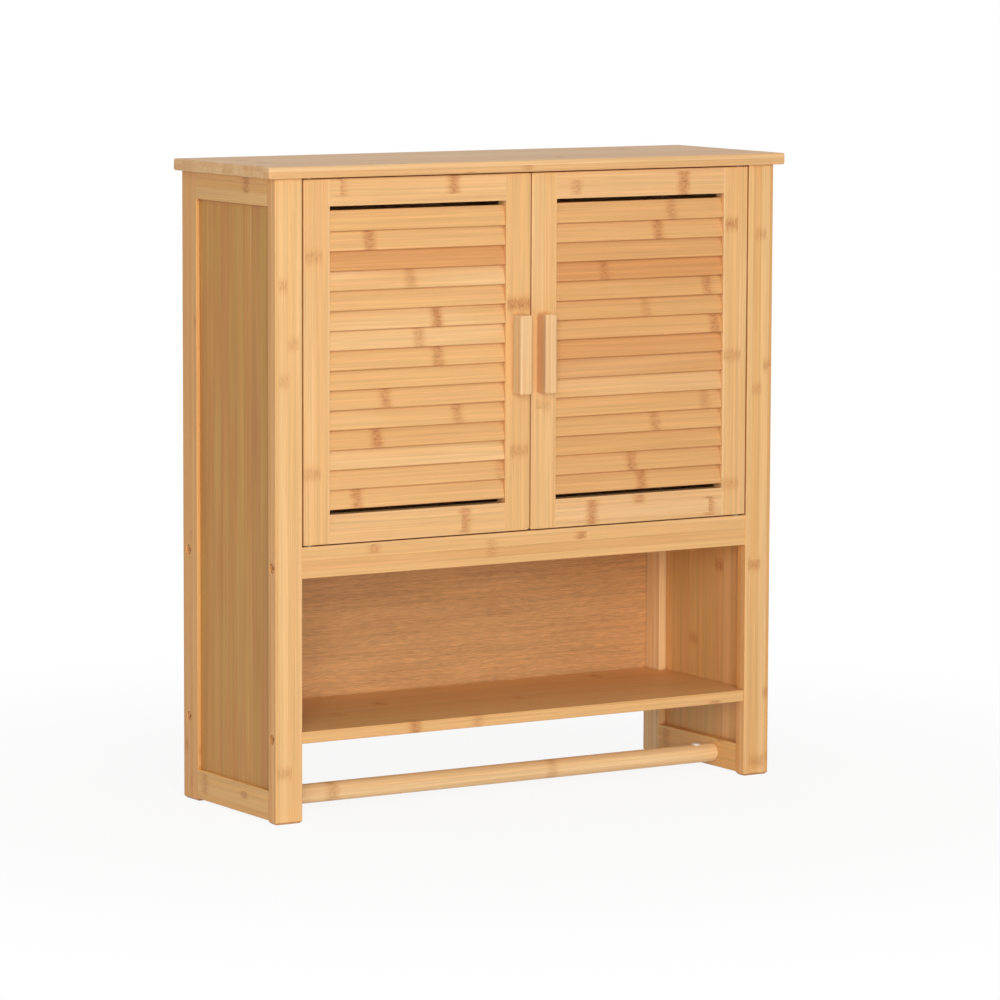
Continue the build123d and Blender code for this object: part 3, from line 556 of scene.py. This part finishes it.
# A lighter copy of the panel material, as painted light
painted_light_panel = bamboo("painted_light_panel_bamboo", "Z", "Y", 0.016, THICK_LAYER, PAINTED_LIGHT_PANEL_TONES, gap=0.3,
                     density=0.15, warp=0.3, soft=0.0030, streaks=0.15, seed=13.0)
top = bamboo("top_bamboo", "X", "Y", 0.021, THIN_LAYER, TOP_TONES, gap=0.24, density=0.35, seed=7.0)
# The shelves carry painted shade on their faces that look up or down
shelf = bamboo("shelf_bamboo", "X", "Y", 0.021, THICK_LAYER, SHELF_TONES, gap=0.24, density=0.25,
               spots=SHELF_SPOTS, level_face_shade=SHELF_LEVEL_SHADE, seed=8.0)
back = bamboo("back_bamboo", "X", "Z", 0.045, THICK_LAYER, BACK_TONES, gap=0.3, density=0.2,
              mottle=0.18, streaks=0.1, seed=9.0)
slat = bamboo("slat_bamboo", "X", "Z", 0.021, THICK_LAYER, SLAT_TONES, slats=True, seed=10.0)
bar = bamboo("bar_bamboo", "X", "Z", 0.02, 0.02, BAR_TONES, gap=0.19, spots=BAR_SPOTS, seed=11.0)
# The handles carry a painted shade tint on their faces that look aside
handle = bamboo("handle_bamboo", "Z", "X", 0.014, 0.02, HANDLE_TONES, gap=0.4, density=0.3,
                twin=True, streaks=0.7, side_shade_tint=HANDLE_SIDE_SHADE_TINT, seed=12.0)

# Relief and spread of the roughness of the plain materials
PLAIN_SPREAD = 0.06
PLAIN_STRENGTH = 0.3
PLAIN_DISTANCE = 0.00003


def plain(name, low, high, scale, roughness, metallic=0.0):
    """A fine-grained material between two tones, for metal, plastic and dowel wood."""
    material, g, shader = new_material(name)
    position = g.add("ShaderNodeTexCoord").outputs["Object"]
    grain = g.noise(position, scale, 4.0, 0.6)
    cloud = g.noise(position, scale / 9, 2.0, 0.5)
    smooth, rough = roughness - PLAIN_SPREAD, roughness + PLAIN_SPREAD
    g.put(shader.inputs["Base Color"], g.mix(g.span(grain, *SOFT_RANGE, smooth=True), low, high))
    g.put(shader.inputs["Roughness"], g.span(cloud, *SOFT_RANGE, smooth, rough))
    shader.inputs["Metallic"].default_value = metallic
    add_relief(g, shader, grain, PLAIN_STRENGTH, PLAIN_DISTANCE)
    return material


steel = plain("zinc_steel", (0.52, 0.52, 0.50, 1), (0.70, 0.70, 0.68, 1), 900, 0.32, metallic=1.0)
bolt = plain("bolt_steel", colour(196, 142, 88), colour(214, 160, 104), 700, 0.45, metallic=0.25)
plastic = plain("pale_plastic", colour(228, 220, 212), colour(238, 232, 226), 500, 0.42)
bushing = plain("bushing_plastic", colour(150, 140, 126), colour(164, 154, 140), 500, 0.5)
ferrite = plain("magnet_ferrite", (0.020, 0.020, 0.022, 1), (0.035, 0.035, 0.038, 1), 1200, 0.6)
beech = plain("dowel_wood", colour(214, 178, 130), colour(230, 198, 152), 400, 0.6)

# Material of each piece, first of the single ones and then of those with a left and a right one
LOOKS = {
    "top_panel": top, "back_panel": back, "hanging_rail": rail, "front_rail": rail,
    "cabinet_floor": shelf, "open_shelf": shelf, "inner_shelf": shelf,
    "towel_bar": bar, "towel_bar_cams": plastic, "towel_bar_cam_dowels": steel,
    "frame_bolts": bolt, "barrel_nuts": steel, "shelf_pins": steel,
    "top_panel_dowels": beech, "side_rail_dowels": beech, "hanging_rail_dowels": beech,
    "lower_pivot_bushings": bushing, "upper_pivot_bushings": bushing,
    "catch_body": plastic, "catch_magnets": ferrite, "catch_screws": steel,
}
PAIRED = {
    "front_post": post, "rear_post": post,
    "top_side_rail": side_rail, "bottom_side_rail": side_rail, "side_panel": panel,
    "door_outer_stile": stile, "door_inner_stile": stile,
    "door_top_rail": door_rail, "door_bottom_rail": door_rail,
    "door_slats": slat, "door_handle": handle, "handle_screws": steel,
    "door_pivot_pins": steel, "strike_plate": steel, "strike_screw": steel,
}
for name, material in PAIRED.items():
    LOOKS[f"left_{name}"] = material
    LOOKS[f"right_{name}"] = material
# The right side panel takes the lighter copy of the panel material as painted light
LOOKS["right_side_panel"] = painted_light_panel
# The right rear post takes the paler copy of the post material as painted light
LOOKS["right_rear_post"] = painted_light_post
for name, item in nodes.items():
    item.data.materials.clear()
    item.data.materials.append(LOOKS[name])


def place_camera():
    """The camera, at the photograph's viewing angle."""
    ca, sa = math.cos(CAMERA_AZIMUTH), math.sin(CAMERA_AZIMUTH)
    ce, se = math.cos(CAMERA_ELEVATION), math.sin(CAMERA_ELEVATION)
    forward = Vector((sa * ce, ca * ce, -se))
    level = Vector((ca, -sa, 0.0))
    upright = level.cross(forward)
    cr, sr = math.cos(CAMERA_ROLL), math.sin(CAMERA_ROLL)
    right = cr * level + sr * upright
    up = cr * upright - sr * level
    place = Vector(CAMERA_AIM) + CAMERA_RIGHT * right + CAMERA_UP * up - CAMERA_DISTANCE * forward
    data = bpy.data.cameras.new("camera")
    data.sensor_width = SENSOR_MM
    data.lens = CAMERA_FOCAL * SENSOR_MM
    data.clip_end = CLIP_END
    camera = bpy.data.objects.new("camera", data)
    turn = Matrix((right, up, -forward)).transposed().to_4x4()
    camera.matrix_world = Matrix.Translation(place) @ turn
    bpy.context.scene.collection.objects.link(camera)
    bpy.context.scene.camera = camera


def seen_directly(g):
    """1 for rays that show the background itself, straight, in a reflection or through glass."""
    path = g.add("ShaderNodeLightPath")
    seen = g.math("MAXIMUM", path.outputs["Is Camera Ray"], path.outputs["Is Glossy Ray"])
    return g.math("MAXIMUM", seen, path.outputs["Is Transmission Ray"])


def add_world():
    """Soft sky light on the object, and white where the background shows."""
    world = bpy.data.worlds.new("studio")
    bpy.context.scene.world = world
    world.use_nodes = True
    world.node_tree.nodes.clear()
    g = Graph(world.node_tree)
    sky = g.add("ShaderNodeBackground")
    sky.inputs["Color"].default_value = SKY_COLOUR
    sky.inputs["Strength"].default_value = SKY_LEVEL
    white = g.add("ShaderNodeBackground")
    white.inputs["Color"].default_value = WHITE
    white.inputs["Strength"].default_value = 1.0
    both = g.add("ShaderNodeMixShader")
    g.put(both.inputs[0], seen_directly(g))
    g.put(both.inputs[1], sky.outputs[0])
    g.put(both.inputs[2], white.outputs[0])
    g.put(g.add("ShaderNodeOutputWorld").inputs["Surface"], both.outputs[0])


def add_lamp(name, azimuth, elevation, level):
    """A square soft lamp that gives its aim point this light level. The angles are in degrees."""
    azimuth, elevation = math.radians(azimuth), math.radians(elevation)
    reach = LAMP_DISTANCE * math.cos(elevation)
    height = LAMP_AIM.z + LAMP_DISTANCE * math.sin(elevation)
    place = Vector((-reach * math.sin(azimuth), -reach * math.cos(azimuth), height))
    way = LAMP_AIM - place
    data = bpy.data.lights.new(name, "AREA")
    data.shape = "SQUARE"
    data.size = LAMP_SIZE
    data.energy = level * math.pi ** 2 * way.length ** 2
    lamp = bpy.data.objects.new(name, data)
    lamp.location = place
    lamp.rotation_euler = way.to_track_quat("-Z", "Y").to_euler()
    bpy.context.scene.collection.objects.link(lamp)


def add_floor():
    """A round floor with a soft shadow near the object, which fades to the background's white."""
    mesh = bpy.data.meshes.new("floor")
    shape = bmesh.new()
    bmesh.ops.create_circle(shape, cap_ends=True, segments=FLOOR_SEGMENTS,
                             radius=FLOOR_RADIUS)
    shape.to_mesh(mesh)
    shape.free()
    floor = bpy.data.objects.new("floor", mesh)
    bpy.context.scene.collection.objects.link(floor)
    material, g, shader = new_material("floor_paint")
    shader.inputs["Base Color"].default_value = FLOOR_COLOUR
    shader.inputs["Roughness"].default_value = FLOOR_ROUGHNESS
    shader.inputs["Specular IOR Level"].default_value = 0.0
    position = g.add("ShaderNodeTexCoord").outputs["Object"]
    length = g.add("ShaderNodeVectorMath", operation="LENGTH")
    g.put(length.inputs[0], position)
    fade = g.span(length.outputs["Value"], FADE_START, FADE_END, FADE_NEAR_SHARE, 1.0, smooth=True)
    glow = g.add("ShaderNodeEmission")
    glow.inputs["Color"].default_value = WHITE
    glow.inputs["Strength"].default_value = 1.0
    blend = g.add("ShaderNodeMixShader")
    g.put(blend.inputs[0], g.math("MULTIPLY", fade, seen_directly(g)))
    g.put(blend.inputs[1], shader.outputs[0])
    g.put(blend.inputs[2], glow.outputs[0])
    output = next(node for node in material.node_tree.nodes if node.type == "OUTPUT_MATERIAL")
    g.put(output.inputs["Surface"], blend.outputs[0])
    mesh.materials.append(material)


place_camera()
add_world()
for name, values in LAMPS.items():
    add_lamp(name, *values)
add_floor()

bpy.context.scene.view_settings.view_transform = "Standard"
